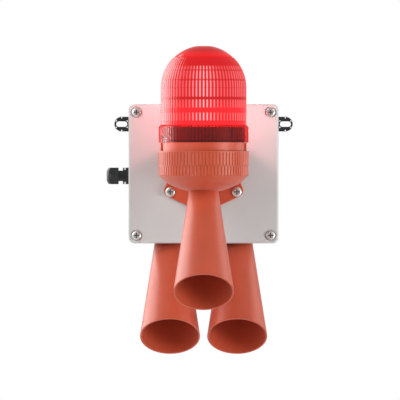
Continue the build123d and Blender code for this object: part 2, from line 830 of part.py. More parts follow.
# Bracket: a shield-shaped plate screwed to the lid, with a short hollow arm to the back of the beacon
with BuildPart() as beacon_bracket:
    with BuildSketch(Plane.XZ.offset(lid_front)) as plate_sketch:
        Polygon(
            (0, -bracket_tip),
            (bracket_ear_x, bracket_ear_z),
            (bracket_top_x, bracket_top_z),
            (-bracket_top_x, bracket_top_z),
            (-bracket_ear_x, bracket_ear_z),
            align=None,
        )
        fillet(plate_sketch.vertices().sort_by(Axis.Y)[0], bracket_tip_round)
        fillet(plate_sketch.vertices().sort_by(Axis.X)[0], bracket_ear_round)
        fillet(plate_sketch.vertices().sort_by(Axis.X)[-1], bracket_ear_round)
        fillet(plate_sketch.vertices().group_by(Axis.Y)[-1], bracket_top_round)
    extrude(amount=bracket_plate)
    fillet(beacon_bracket.faces().sort_by(Axis.Y)[0].outer_wire().edges(), 1.0)
    with BuildSketch(Plane.XZ.offset(lid_front + bracket_plate / 2)):
        with Locations((0, bracket_arm_level)):
            RectangleRounded(bracket_arm_width, bracket_arm_height, 4)
    extrude(amount=bracket_plate / 2 + bracket_arm_length)
    with BuildSketch(Plane.XZ.offset(lid_front)):
        with Locations(bracket_low_screw, bracket_high_screw):
            Circle(bracket_screw_shank + seat_clearance)
        mirror(about=Plane.YZ)
        with Locations((0, wire_hole_level)):
            Circle(wire_hole_radius)
    extrude(amount=bracket_plate + bracket_arm_length, mode=Mode.SUBTRACT)
    with BuildSketch(Plane.XZ.offset(arm_front)):
        with Locations((0, wire_hole_level)):
            with GridLocations(base_screw_spacing, 1, 2, 1):
                Circle(base_screw_shank + seat_clearance)
    extrude(amount=-base_screw_bite, mode=Mode.SUBTRACT)
beacon_bracket.part.label = "beacon_bracket"
export_step(beacon_bracket.part, "parts/beacon_bracket.step")

bracket_places = []
for x, z in (bracket_low_screw, bracket_high_screw):
    bracket_places += [(x, z), (-x, z)]
bracket_screw_length = bracket_plate + lid_plate + bracket_nut_height
bracket_screw = cross_head_screw(bracket_screw_head, bracket_screw_shank, bracket_screw_length)
with BuildPart() as bracket_screws:
    for x, z in bracket_places:
        with Locations(front_place(x, z, lid_front + bracket_plate)):
            add(bracket_screw)
bracket_screws.part.label = "bracket_screws"
export_step(bracket_screws.part, "parts/bracket_screws.step")

with BuildPart() as bracket_nuts:
    with BuildSketch(Plane.XZ.offset(lid_back)):
        with Locations(*bracket_places):
            RegularPolygon(5, 6, major_radius=False)
            Circle(bracket_screw_shank + seat_clearance, mode=Mode.SUBTRACT)
    extrude(amount=-bracket_nut_height)
bracket_nuts.part.label = "bracket_nuts"
export_step(bracket_nuts.part, "parts/bracket_nuts.step")

# Rubber bush that lines the wire hole in the lid
with BuildPart() as wire_grommet:
    with BuildSketch(Plane.XZ.offset(lid_back)):
        with Locations((0, wire_hole_level)):
            Circle(wire_hole_radius + wire_grommet_wall - seat_clearance)
    extrude(amount=lid_plate)
    with BuildSketch(Plane.XZ.offset(lid_back)):
        with Locations((0, wire_hole_level)):
            Circle(wire_hole_radius + 2 * wire_grommet_wall)
    extrude(amount=-wire_grommet_lip)
    with BuildSketch(Plane.XZ.offset(lid_front)):
        with Locations((0, wire_hole_level)):
            Circle(wire_hole_radius)
    extrude(amount=-lid_plate - wire_grommet_lip, mode=Mode.SUBTRACT)
wire_grommet.part.label = "wire_grommet"
export_step(wire_grommet.part, "parts/wire_grommet.step")

# Beacon base: the bowl's hollow is made first, with the posts and the horn's socket left standing in it
beacon_origin = Vector(0, beacon_y, 0)
beacon_axis = Axis(beacon_origin, (0, 0, 1))
beacon_profile = profile_plane(beacon_origin)
front_mouth = horn_mouths["front"]
lip_top = seam_level + bowl_lip_height
lip_outer = band_radius - base_wall - seat_clearance
lip_inner = lip_outer - base_wall
pad_reach = base_screw_spacing / 2 + base_screw_pad
screw_seat = -beacon_y - math.sqrt((band_radius - base_wall) ** 2 - pad_reach**2)
hollow_shoulder = bowl_point(bowl_shoulder_radius - 0.6 * base_wall, base_wall)
hollow_foot = bowl_point(bowl_foot_radius, base_wall)
with BuildPart() as bowl_hollow:
    with BuildSketch(beacon_profile):
        with BuildLine():
            Polyline(
                hollow_foot,
                (0, hollow_foot[1]),
                (0, lip_top),
                (lip_inner, lip_top),
                (lip_inner, seam_level - 0.5 * base_wall),
                (band_radius - base_wall, seam_level - 1.5 * base_wall),
                (band_radius - base_wall, band_level + 0.4 * base_wall),
                hollow_shoulder,
            )
            ThreePointArc(hollow_shoulder, bowl_point(2 * bowl_foot_radius, base_wall), hollow_foot)
        make_face()
    revolve(axis=beacon_axis)
    with BuildSketch(horn_plane(front_mouth, socket_top)):
        Circle(horn_radius(front_horn_reach) + socket_wall)
    extrude(amount=-horn_length / 5, mode=Mode.SUBTRACT)
    with BuildSketch(Plane.XY.offset(speaker_level)):
        with Locations((0, beacon_y)):
            with PolarLocations(speaker_screw_circle, 4):
                Circle(speaker_post_radius)
    extrude(amount=-bowl_drop, mode=Mode.SUBTRACT)
    with BuildSketch(Plane.XY.offset(lip_top)):
        with Locations((0, beacon_y)):
            with PolarLocations(collar_post_circle, 4, start_angle=45):
                Circle(collar_post_radius)
    extrude(amount=band_level - bowl_drop - lip_top, mode=Mode.SUBTRACT)
    with BuildSketch(Plane.XZ.offset(screw_seat)):
        with Locations((0, wire_hole_level)):
            with GridLocations(base_screw_spacing, 1, 2, 1):
                Circle(base_screw_pad)
    extrude(amount=-2 * base_wall, mode=Mode.SUBTRACT)

bowl_shoulder = bowl_point(bowl_shoulder_radius, 0)
bowl_foot = bowl_point(bowl_foot_radius, 0)
with BuildPart() as base_bowl:
    with BuildSketch(beacon_profile):
        with BuildLine():
            Polyline(
                (0, band_level - bowl_drop),
                (0, lip_top),
                (lip_outer, lip_top),
                (lip_outer, seam_level),
                (band_radius, seam_level),
                (band_radius, band_level),
                bowl_shoulder,
            )
            ThreePointArc(bowl_shoulder, bowl_point(2 * bowl_foot_radius, 0), bowl_foot)
            Line(bowl_foot, (0, band_level - bowl_drop))
        make_face()
    revolve(axis=beacon_axis)
    with BuildSketch(Plane.XY.offset(band_level - 1.2 * band_groove_depth)):
        half_pitch = 180 / band_groove_count
        flute_sketch(band_radius, band_groove_count, band_groove_width, band_groove_depth, half_pitch)
    extrude(amount=lower_band_height - band_rim + 1.2 * band_groove_depth, mode=Mode.SUBTRACT)
    with BuildSketch(Plane.XZ.offset(arm_front)):
        with Locations((0, (seam_level + bracket_arm_level - bracket_arm_height / 2) / 2)):
            Rectangle(bracket_arm_width, seam_level - bracket_arm_level + bracket_arm_height / 2)
    extrude(amount=band_radius / 3)
    add(bowl_hollow.part, mode=Mode.SUBTRACT)
    add(horn_space(front_mouth, seat_clearance, front_horn_reach / 2, horn_length), mode=Mode.SUBTRACT)
    with BuildSketch(horn_plane(front_mouth, horn_length)):
        Circle(socket_throat_radius)
    extrude(amount=2 * socket_ledge, mode=Mode.SUBTRACT)
    with BuildSketch(Plane.XZ.offset(arm_front)):
        with Locations((0, wire_hole_level)):
            Circle(wire_hole_radius)
            with GridLocations(base_screw_spacing, 1, 2, 1):
                Circle(base_screw_shank + seat_clearance)
    extrude(amount=screw_seat - arm_front, mode=Mode.SUBTRACT)
    with BuildSketch(Plane.XY.offset(lip_top)):
        with Locations((0, beacon_y)):
            with PolarLocations(collar_post_circle, 4, start_angle=45):
                Circle(small_screw_shank + seat_clearance)
    extrude(amount=-collar_screw_bite - 1, mode=Mode.SUBTRACT)
    with BuildSketch(Plane.XY.offset(speaker_level)):
        with Locations((0, beacon_y)):
            with PolarLocations(speaker_screw_circle, 4):
                Circle(speaker_screw_shank + seat_clearance)
    extrude(amount=-speaker_screw_bite - 1, mode=Mode.SUBTRACT)
base_bowl.part.label = "base_bowl"
export_step(base_bowl.part, "parts/base_bowl.step")

# Two screws from inside the bowl into the bracket's arm
base_screw = plain_screw(base_screw_head, base_screw_shank, screw_seat - arm_front + base_screw_bite)
with BuildPart() as base_screws:
    for x in (-base_screw_spacing / 2, base_screw_spacing / 2):
        with Locations(front_place(x, wire_hole_level, screw_seat)):
            add(base_screw)
base_screws.part.label = "base_screws"
export_step(base_screws.part, "parts/base_screws.step")

# Bayonet of the lens: one peg, and the track and entry that are cut in the spigot for it. Each is made
# round the origin and repeated round the beacon's axis. The lens turns anticlockwise to open.
peg_inner = spigot_radius - peg_depth
peg_bottom = skirt_bottom + peg_level
track_inner = peg_inner - slide_clearance
end_angle = math.degrees(slide_clearance / peg_inner)
seal_bottom = skirt_bottom + seal_level

with BuildPart() as peg:
    with BuildSketch(Plane.XZ):
        with Locations(((peg_inner + lens_bore + 1) / 2, peg_bottom + peg_height / 2)):
            Rectangle(lens_bore + 1 - peg_inner, peg_height)
    revolve(axis=Axis.Z, revolution_arc=peg_angle)

with BuildPart() as track:
    with BuildSketch(Plane.XZ.rotated((0, 0, -end_angle))):
        with Locations(((track_inner + lens_bore) / 2, peg_bottom + peg_height / 2)):
            Rectangle(lens_bore - track_inner, peg_height + 2 * slide_clearance)
    revolve(axis=Axis.Z, revolution_arc=bayonet_twist + peg_angle + 2 * end_angle)

with BuildPart() as entry:
    with BuildSketch(Plane.XZ.rotated((0, 0, bayonet_twist - end_angle))):
        with Locations(((track_inner + lens_bore) / 2, (peg_bottom + spigot_top + 1) / 2)):
            Rectangle(lens_bore - track_inner, spigot_top + 1 - peg_bottom)
    revolve(axis=Axis.Z, revolution_arc=peg_angle + 2 * end_angle)

# Collar: the upper grooved band, the neck with its two tabs, the spigot with its bayonet tracks, the deck
groove_top = collar_top - 1.8
with BuildPart() as base_collar:
    with BuildSketch(beacon_profile):
        with BuildLine():
            Polyline(
                (band_radius - base_wall, collar_bottom),
                (collar_radius, collar_bottom),
                (collar_radius, collar_top - 0.7),
                (collar_radius - 0.7, collar_top),
                (neck_radius + 1, collar_top),
                (neck_radius, collar_top - 0.9),
                (neck_radius, skirt_bottom),
                (spigot_radius, skirt_bottom + 0.4),
                (spigot_radius, spigot_top - 0.6),
                (spigot_radius - 0.6, spigot_top),
                (spigot_bore, spigot_top),
                (spigot_bore, deck_top),
                (0, deck_top),
                (0, deck_level),
                (spigot_bore, deck_level),
                (spigot_bore, collar_top - 2 * base_wall),
                (band_radius - base_wall, collar_top - 2 * base_wall - 3),
                close=True,
            )
        make_face()
    revolve(axis=beacon_axis)
    with BuildSketch(Plane.XY.offset(deck_level)):
        with Locations((0, beacon_y)):
            with PolarLocations(collar_post_circle, 4, start_angle=45):
                Circle(collar_post_radius)
    extrude(amount=lip_top - deck_level)
    with BuildSketch(Plane.XY.offset(collar_top - 0.9)):
        with Locations((0, beacon_y)):
            with PolarLocations((neck_radius + neck_tab_radius) / 2 - 0.5, 2):
                Rectangle(neck_tab_radius - neck_radius + 1, neck_tab_width)
    extrude(amount=neck_height + 0.9 - slide_clearance)
    with BuildSketch(Plane.XY.offset(deck_top)):
        with Locations((0, beacon_y)):
            with PolarLocations(led_post_circle, 3, start_angle=90):
                Circle(led_post_radius)
    extrude(amount=led_post_height)
    with BuildSketch(Plane.XY.offset(deck_level)):
        with Locations((0, beacon_y + deck_hole_reach)):
            Circle(wire_hole_radius)
    extrude(amount=deck_thickness, mode=Mode.SUBTRACT)
    with BuildSketch(Plane.XY.offset(lip_top)):
        with Locations((0, beacon_y)):
            with PolarLocations(collar_post_circle, 4, start_angle=45):
                Circle(small_screw_shank + seat_clearance)
    extrude(amount=deck_top - lip_top, mode=Mode.SUBTRACT)
    with BuildSketch(Plane.XY.offset(collar_bottom)):
        flute_sketch(collar_radius, band_groove_count, band_groove_width, band_groove_depth, 0)
    extrude(amount=groove_top - collar_bottom, mode=Mode.SUBTRACT)
    with BuildSketch(beacon_profile):
        with Locations((spigot_radius, seal_bottom + seal_height / 2)):
            Rectangle(2 * seal_width, seal_height + 2 * seat_clearance)
    revolve(axis=beacon_axis, mode=Mode.SUBTRACT)
    with Locations(beacon_origin):
        with PolarLocations(0, bayonet_pegs):
            add(track.part, mode=Mode.SUBTRACT)
            add(entry.part, mode=Mode.SUBTRACT)
base_collar.part.label = "base_collar"
export_step(base_collar.part, "parts/base_collar.step")

# Long screws from the deck through the collar's posts into the bowl's posts
collar_screw = plain_screw(small_screw_head, small_screw_shank, deck_top - lip_top + collar_screw_bite)
with BuildPart() as collar_screws:
    with Locations((0, beacon_y, deck_top)):
        with PolarLocations(collar_post_circle, 4, start_angle=45):
            add(collar_screw)
collar_screws.part.label = "collar_screws"
export_step(collar_screws.part, "parts/collar_screws.step")

# Seal ring in its groove at the foot of the spigot, just clear of the lens that turns round it
with BuildPart() as seal_ring:
    with BuildSketch(beacon_profile):
        with Locations((spigot_radius - seal_width / 2 + seat_clearance / 2, seal_bottom + seal_height / 2)):
            Rectangle(seal_width - seat_clearance, seal_height)
    revolve(axis=beacon_axis)
seal_ring.part.label = "seal_ring"
export_step(seal_ring.part, "parts/seal_ring.step")

# Lens: skirt, shoulder, fluted wall and dome, smooth crown, prism rings inside, and the bayonet's pegs
crown_angle = math.degrees(math.asin(crown_height / lens_radius))
inner_radius = lens_radius - lens_wall


def dome_point(radius, angle):
    """Point of the dome's profile at a radius and an angle above its level."""
    turn = math.radians(angle)
    return (radius * math.cos(turn), dome_level + radius * math.sin(turn))


groove_radius = lens_radius - crown_groove_depth
crown_radius = lens_radius - crown_step
crown_start = crown_angle + crown_groove_angle
flat_angle = math.degrees(math.acos(crown_flat_radius / crown_radius))
flat_level = dome_point(crown_radius, flat_angle)[1]

# One flute of the dome, a V swept up a meridian
with BuildPart() as dome_flute:
    with BuildSketch(Plane.XY.offset(dome_level)):
        half = 0.5 * lens_flute_width * (lens_flute_depth + 0.3) / lens_flute_depth
        Polygon(
            (lens_radius + 0.3, -half),
            (lens_radius + 0.3, half),
            (lens_radius - lens_flute_depth, 0),
            align=None,
        )
    revolve(axis=Axis((0, 0, dome_level), (0, -1, 0)), revolution_arc=crown_angle + crown_groove_angle / 2)

with BuildPart() as lens:
    with BuildSketch(beacon_profile):
        with BuildLine():
            Polyline(
                (lens_bore, skirt_bottom),
                (skirt_radius, skirt_bottom),
                (skirt_radius, skirt_top),
                (lens_radius, shoulder_top),
                (lens_radius, dome_level),
            )
            ThreePointArc(
                (lens_radius, dome_level),
                dome_point(lens_radius, crown_angle / 2),
                dome_point(lens_radius, crown_angle),
            )
            Line(dome_point(lens_radius, crown_angle), dome_point(groove_radius, crown_angle))
            ThreePointArc(
                dome_point(groove_radius, crown_angle),
                dome_point(groove_radius, crown_angle + crown_groove_angle / 2),
                dome_point(groove_radius, crown_start),
            )
            Line(dome_point(groove_radius, crown_start), dome_point(crown_radius, crown_start))
            ThreePointArc(
                dome_point(crown_radius, crown_start),
                dome_point(crown_radius, (crown_start + flat_angle) / 2),
                dome_point(crown_radius, flat_angle),
            )
            Polyline(
                dome_point(crown_radius, flat_angle),
                (0, flat_level),
                (0, dome_level + inner_radius),
            )
            ThreePointArc(
                (0, dome_level + inner_radius),
                dome_point(inner_radius, 45),
                (inner_radius, dome_level),
            )
            Polyline(
                (inner_radius, dome_level),
                (inner_radius, spigot_top + slide_clearance + lens_wall / 2),
                (lens_bore, spigot_top + slide_clearance),
                (lens_bore, skirt_bottom),
            )
        make_face()
    revolve(axis=beacon_axis)
    with BuildSketch(beacon_profile):
        for level, height in zip(ring_levels, ring_heights):
            Polygon(
                (inner_radius + 0.4, level - height / 2),
                (inner_radius - ring_depth, level - height / 4),
                (inner_radius - ring_depth, level + height / 4),
                (inner_radius + 0.4, level + height / 2),
                align=None,
            )
    revolve(axis=beacon_axis)
    with Locations(beacon_origin):
        with PolarLocations(0, bayonet_pegs):
            add(peg.part)
    with BuildSketch(Plane.XY.offset(shoulder_top)):
        flute_sketch(lens_radius, lens_flute_count, lens_flute_width, lens_flute_depth, 0)
    extrude(amount=dome_level - shoulder_top, mode=Mode.SUBTRACT)
    with Locations(beacon_origin):
        with PolarLocations(0, lens_flute_count):
            add(dome_flute.part, mode=Mode.SUBTRACT)
    with BuildSketch(Plane.XY.offset(skirt_bottom)):
        flute_sketch(skirt_radius, skirt_flute_count, skirt_flute_width, skirt_flute_depth, 0)
    extrude(amount=skirt_height, mode=Mode.SUBTRACT)
lens.part.label = "lens"
export_step(lens.part, "parts/lens.step")

# Light source: a round board on three posts, a six-sided tower, LED strips, LED chips and a cap
led_board_bottom = deck_top + led_post_height
tower_bottom = led_board_bottom + led_board_thickness
tower_top = tower_bottom + tower_height
tower_flat = tower_radius * math.cos(math.pi / tower_sides)
strip_width = 0.75 * tower_radius
strip_thickness = 1.2
first_row = tower_bottom + led_end_margin
row_pitch = (tower_height - 2 * led_end_margin) / (led_rows - 1)
face_angle = 180 / tower_sides

with BuildPart() as led_base_board:
    with BuildSketch(Plane.XY.offset(led_board_bottom)):
        with Locations((0, beacon_y)):
            Circle(led_board_radius)
            with Locations((0, deck_hole_reach)):
                Circle(wire_hole_radius, mode=Mode.SUBTRACT)
    extrude(amount=led_board_thickness)
led_base_board.part.label = "led_base_board"
export_step(led_base_board.part, "parts/led_base_board.step")

with BuildPart() as led_tower:
    with BuildSketch(Plane.XY.offset(tower_bottom)):
        with Locations((0, beacon_y)):
            RegularPolygon(tower_radius, tower_sides)
            Circle(tower_flat / 2, mode=Mode.SUBTRACT)
    extrude(amount=tower_height)
led_tower.part.label = "led_tower"
export_step(led_tower.part, "parts/led_tower.step")

with BuildPart() as led_strips:
    with BuildSketch(Plane.XY.offset(tower_bottom)):
        with Locations((0, beacon_y)):
            with PolarLocations(tower_flat + strip_thickness / 2, tower_sides, start_angle=face_angle):
                Rectangle(strip_thickness, strip_width)
    extrude(amount=tower_height)
led_strips.part.label = "led_strips"
export_step(led_strips.part, "parts/led_strips.step")

with BuildPart() as led_chips:
    for row in range(led_rows):
        with BuildSketch(Plane.XY.offset(first_row - led_size / 2 + row * row_pitch)):
            with Locations((0, beacon_y)):
                chip_circle = tower_flat + strip_thickness + led_height / 2
                with PolarLocations(chip_circle, tower_sides, start_angle=face_angle):
                    Rectangle(led_height, led_size)
        extrude(amount=led_size)
led_chips.part.label = "led_chips"
export_step(led_chips.part, "parts/led_chips.step")

with BuildPart() as led_tower_cap:
    with BuildSketch(Plane.XY.offset(tower_top)):
        with Locations((0, beacon_y)):
            Circle(tower_radius + tower_cap_lip)
    extrude(amount=tower_cap_height)
    chamfer(led_tower_cap.edges().group_by(Axis.Z)[-1], 1)
led_tower_cap.part.label = "led_tower_cap"
export_step(led_tower_cap.part, "parts/led_tower_cap.step")

# Speaker on four posts of the bowl: basket with windows, diaphragm, magnet and screws
basket_top = speaker_level + basket_height
with BuildPart() as speaker_basket:
    with BuildSketch(beacon_profile):
        with BuildLine():
            Polyline(
                (basket_wide_radius, speaker_level),
                (speaker_radius, speaker_level),
                (speaker_radius, speaker_level + speaker_flange),
                (basket_wide_radius + basket_wall, speaker_level + speaker_flange),
                (basket_narrow_radius + basket_wall, basket_top),
                (cone_top_radius + basket_wall, basket_top),
                (cone_top_radius + basket_wall, basket_top - basket_wall),
                (basket_narrow_radius, basket_top - basket_wall),
                (basket_wide_radius, speaker_level + speaker_flange),
                close=True,
            )
        make_face()
    revolve(axis=beacon_axis)
    with BuildSketch(Plane.XY.offset(basket_top - 1.5 * basket_wall)):
        with Locations((0, beacon_y)):
            with PolarLocations((basket_narrow_radius + basket_wide_radius) / 2, 4, start_angle=45):
                Rectangle(basket_wide_radius - basket_narrow_radius, 0.9 * basket_narrow_radius)
    extrude(amount=-(basket_height - speaker_flange - 3 * basket_wall), mode=Mode.SUBTRACT)
    with BuildSketch(Plane.XY.offset(speaker_level)):
        with Locations((0, beacon_y)):
            with PolarLocations(speaker_screw_circle, 4):
                Circle(speaker_screw_shank + seat_clearance)
    extrude(amount=speaker_flange, mode=Mode.SUBTRACT)
speaker_basket.part.label = "speaker_basket"
export_step(speaker_basket.part, "parts/speaker_basket.step")

cone_rim = basket_wide_radius - seat_clearance
with BuildPart() as speaker_cone:
    with BuildSketch(beacon_profile):
        with BuildLine():
            Polyline(
                (cone_rim, speaker_level),
                (cone_rim, speaker_level + 2 * cone_thickness),
                (cone_rim - 2, speaker_level + 2 * cone_thickness),
                (cone_top_radius, speaker_level + cone_height + cone_thickness),
                (0, speaker_level + 0.7 * cone_height + cone_thickness),
                (0, speaker_level + 0.7 * cone_height),
                (cone_top_radius, speaker_level + cone_height),
                (cone_rim - 3, speaker_level),
                close=True,
            )
        make_face()
    revolve(axis=beacon_axis)
speaker_cone.part.label = "speaker_cone"
export_step(speaker_cone.part, "parts/speaker_cone.step")

with BuildPart() as speaker_magnet:
    with BuildSketch(Plane.XY.offset(basket_top)):
        with Locations((0, beacon_y)):
            Circle(speaker_magnet_radius)
    extrude(amount=speaker_magnet_height)
    chamfer(speaker_magnet.edges().group_by(Axis.Z)[-1], 1)
speaker_magnet.part.label = "speaker_magnet"
export_step(speaker_magnet.part, "parts/speaker_magnet.step")

speaker_screw = plain_screw(speaker_screw_head, speaker_screw_shank, speaker_flange + speaker_screw_bite)
with BuildPart() as speaker_screws:
    with Locations((0, beacon_y, speaker_level + speaker_flange)):
        with PolarLocations(speaker_screw_circle, 4):
            add(speaker_screw)
speaker_screws.part.label = "speaker_screws"
export_step(speaker_screws.part, "parts/speaker_screws.step")
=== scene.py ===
import math

import bmesh
import bpy
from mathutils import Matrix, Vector


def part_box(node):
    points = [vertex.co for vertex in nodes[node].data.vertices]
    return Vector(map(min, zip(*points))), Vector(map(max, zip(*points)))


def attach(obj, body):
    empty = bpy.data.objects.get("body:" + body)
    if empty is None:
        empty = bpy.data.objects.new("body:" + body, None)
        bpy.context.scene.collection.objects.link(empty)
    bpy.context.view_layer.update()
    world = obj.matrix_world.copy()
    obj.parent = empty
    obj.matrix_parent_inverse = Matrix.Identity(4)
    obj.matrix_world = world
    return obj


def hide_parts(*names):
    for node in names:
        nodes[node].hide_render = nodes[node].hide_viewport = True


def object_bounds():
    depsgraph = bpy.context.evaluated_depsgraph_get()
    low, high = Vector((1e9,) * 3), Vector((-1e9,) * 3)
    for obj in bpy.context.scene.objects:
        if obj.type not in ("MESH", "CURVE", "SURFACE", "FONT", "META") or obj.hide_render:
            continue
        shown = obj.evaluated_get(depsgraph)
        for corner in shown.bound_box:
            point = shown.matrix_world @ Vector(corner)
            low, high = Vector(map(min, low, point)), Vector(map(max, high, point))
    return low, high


# The siren hangs on a wall at Y = 0 and faces -Y. Everything is in metres, in the frame of the CAD model.
# A level is a height in that frame. Angles are in radians.

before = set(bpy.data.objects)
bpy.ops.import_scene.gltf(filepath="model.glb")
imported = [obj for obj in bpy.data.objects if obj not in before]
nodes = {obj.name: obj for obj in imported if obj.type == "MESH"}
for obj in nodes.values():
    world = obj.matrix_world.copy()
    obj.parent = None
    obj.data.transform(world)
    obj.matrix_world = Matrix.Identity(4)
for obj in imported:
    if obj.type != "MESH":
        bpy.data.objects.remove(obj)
cad_low, cad_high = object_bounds()
centre = (cad_low + cad_high) / 2

# Camera: the width that it covers at the siren's depth, the point that it faces, its lens and sensor in mm,
# and how far it sees
view_width = 0.468
view_x = -0.0042
view_z = -0.0307
view_depth = -0.12
camera_lens = 800.0
camera_sensor = 36.0
camera_reach = 100.0

# Lens: its axis, its fluted wall and dome, and its smooth crown
lens_low, lens_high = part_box("lens")
lens_x = (lens_low.x + lens_high.x) / 2
lens_y = (lens_low.y + lens_high.y) / 2
wall_radius = 0.050
wall_thickness = 0.0027
wall_lap = 0.0002
flute_count = 75
flute_depth = 0.0003
flute_start = 0.0006
columns_per_ridge = 8
dome_level = 0.0999
dome_rows = 18
crown_level = 0.1354
crown_step = 0.0004
crown_groove = 0.0009
crown_groove_angle = math.radians(1.6)
crown_flat = 0.0085
crown_rows = 14
axis_radius = 0.0002
ceiling_high = math.radians(80)
ceiling_low = math.radians(3)
ceiling_rows = 12

# Prism rings inside the wall, from the top down: the level and the height of each
rings = ((0.1007, 0.0016), (0.0883, 0.0034), (0.0738, 0.0050), (0.0592, 0.0052))
ring_depth = 0.0013

# Skirt of the lens, and the pegs of its bayonet
skirt_radius = 0.0524
skirt_bore = 0.0483
skirt_top = 0.0550
skirt_edge = 0.0003
shoulder_top = 0.0570
shoulder_drop = 0.0004
rib_count = 78
rib_depth = 0.00025
peg_count = 4
peg_level = 0.0409
peg_height = 0.0030
peg_depth = 0.0018
peg_root = 0.0005
peg_angle = math.radians(9)
peg_slices = 5
sharp_angle = math.radians(35)

# Light of the LED tower, gathered in one lamp
led_columns = 6
tower_level = 0.0915
tower_power = 0.38
tower_colour = (1.0, 0.30, 0.32)
tower_lamp_radius = 0.006

# White surroundings: how strong they are as a light, and what they add in a reflection
sky_light = 0.18
sky_gloss = 0.25
floor_level = -0.30
floor_reach = 1.1

# Most values of a noise lie in this range
noise_low = 0.3
noise_high = 0.7


class Nodes:
    """The shader nodes of a material or of the world."""

    def __init__(self, tree):
        self.tree = tree

    def add(self, kind, **values):
        """A new node with its properties set."""
        node = self.tree.nodes.new(kind)
        for key, value in values.items():
            setattr(node, key, value)
        return node

    def join(self, source, target):
        """Link an output to an input."""
        self.tree.links.new(source, target)

    def maths(self, operation, *values):
        """A Math node on values that are each a number or an output."""
        node = self.add("ShaderNodeMath", operation=operation)
        for socket, value in zip(node.inputs, values):
            if isinstance(value, (int, float)):
                socket.default_value = value
            else:
                self.join(value, socket)
        return node.outputs["Value"]

    def spread(self, source, low, high, from_low=noise_low, from_high=noise_high):
        """A value taken from one range to another."""
        node = self.add("ShaderNodeMapRange")
        node.inputs["From Min"].default_value = from_low
        node.inputs["From Max"].default_value = from_high
        node.inputs["To Min"].default_value = low
        node.inputs["To Max"].default_value = high
        self.join(source, node.inputs["Value"])
        return node.outputs["Result"]


class Surface(Nodes):
    """A procedural material: a Principled shader and the texture nodes that feed it."""

    def __init__(self, name):
        self.material = bpy.data.materials.new(name)
        self.material.use_nodes = True
        super().__init__(self.material.node_tree)
        self.shader = self.tree.nodes["Principled BSDF"]
        self.place = self.add("ShaderNodeTexCoord").outputs["Object"]

    def plain(self, **values):
        """Set uniform values on the shader's own sockets."""
        for key, value in values.items():
            self.shader.inputs[key.replace("_", " ")].default_value = value

    def feed(self, source, socket):
        """Feed one of the shader's sockets."""
        self.join(source, self.shader.inputs[socket])

    def relief(self, height, depth, strength):
        """Feed the normal from a height field, its depth in metres."""
        node = self.add("ShaderNodeBump")
        node.inputs["Strength"].default_value = strength
        node.inputs["Distance"].default_value = depth
        self.join(height, node.inputs["Height"])
        self.feed(node.outputs["Normal"], "Normal")

    def axis(self, letter):
        """The place on the object along one axis."""
        node = self.add("ShaderNodeSeparateXYZ")
        self.join(self.place, node.inputs["Vector"])
        return node.outputs[letter]

    def scaled(self, stretch):
        """The place on the object, stretched along each axis."""
        node = self.add("ShaderNodeMapping")
        node.inputs["Scale"].default_value = stretch
        self.join(self.place, node.inputs["Vector"])
        return node.outputs["Vector"]

    def noise(self, scale, detail=3.0, place=None):
        """Soft noise with a number of features a metre."""
        node = self.add("ShaderNodeTexNoise")
        node.inputs["Scale"].default_value = scale
        node.inputs["Detail"].default_value = detail
        self.join(place or self.place, node.inputs["Vector"])
        return node.outputs["Fac"]

    def cells(self, scale):
        """Distance to the nearest point of a random cloud."""
        node = self.add("ShaderNodeTexVoronoi")
        node.inputs["Scale"].default_value = scale
        self.join(self.place, node.inputs["Vector"])
        return node.outputs["Distance"]

    def ramp(self, source, stops):
        """A colour for each value, from (value, colour) stops."""
        node = self.add("ShaderNodeValToRGB")
        elements = node.color_ramp.elements
        while len(elements) < len(stops):
            elements.new(1.0)
        for element, (value, colour) in zip(elements, stops):
            element.position = value
            element.color = (*colour, 1.0)
        self.join(source, node.inputs["Fac"])
        return node.outputs["Color"]

    def mottled(self, noise, first, second):
        """A colour that drifts with a noise from one tone to another."""
        return self.ramp(noise, [(noise_low, first), (noise_high, second)])

    def blend(self, factor, first, second, kind="MIX"):
        """Two colours blended, each a colour or an output."""
        node = self.add("ShaderNodeMix", data_type="RGBA", blend_type=kind, clamp_result=False)
        if isinstance(factor, (int, float)):
            node.inputs["Factor"].default_value = factor
        else:
            self.join(factor, node.inputs["Factor"])
        for socket, value in zip((node.inputs[6], node.inputs[7]), (first, second)):
            if isinstance(value, tuple):
                socket.default_value = (*value, 1.0)
            else:
                self.join(value, socket)
        return node.outputs[2]

    def openness(self, reach):
        """How open the surface is: 1 where nothing stands within reach, 0 deep in a recess."""
        node = self.add("ShaderNodeAmbientOcclusion", samples=8)
        node.inputs["Distance"].default_value = reach
        return self.spread(node.outputs["AO"], 0.0, 1.0, 0.45, 0.85)

    def lens_turn(self):
        """The angle round the lens's axis from its front."""
        across = self.maths("SUBTRACT", self.axis("X"), lens_x)
        deep = self.maths("SUBTRACT", self.axis("Y"), lens_y)
        return self.maths("ADD", self.maths("ARCTAN2", deep, across), math.pi / 2)

    def wave(self, turn, count, sharpness):
        """Ridges round the axis: 1 at each of a number of even places, 0 between them."""
        ridge = self.maths("COSINE", self.maths("MULTIPLY", turn, count))
        return self.maths("POWER", self.maths("MULTIPLY_ADD", ridge, 0.5, 0.5), sharpness)


def shade(colour, factor):
    """A colour made lighter or darker."""
    return tuple(channel * factor for channel in colour)


def powder_coat():
    """Light grey powder coat with fine orange peel and a faint cloudiness."""
    surface = Surface("powder_coat")
    grey = (0.60, 0.622, 0.618)
    surface.feed(surface.mottled(surface.noise(18.0), shade(grey, 0.97), shade(grey, 1.02)), "Base Color")
    surface.feed(surface.spread(surface.noise(260.0), 0.40, 0.52), "Roughness")
    surface.relief(surface.noise(1400.0, 2.0), 0.00006, 0.5)
    return surface.material


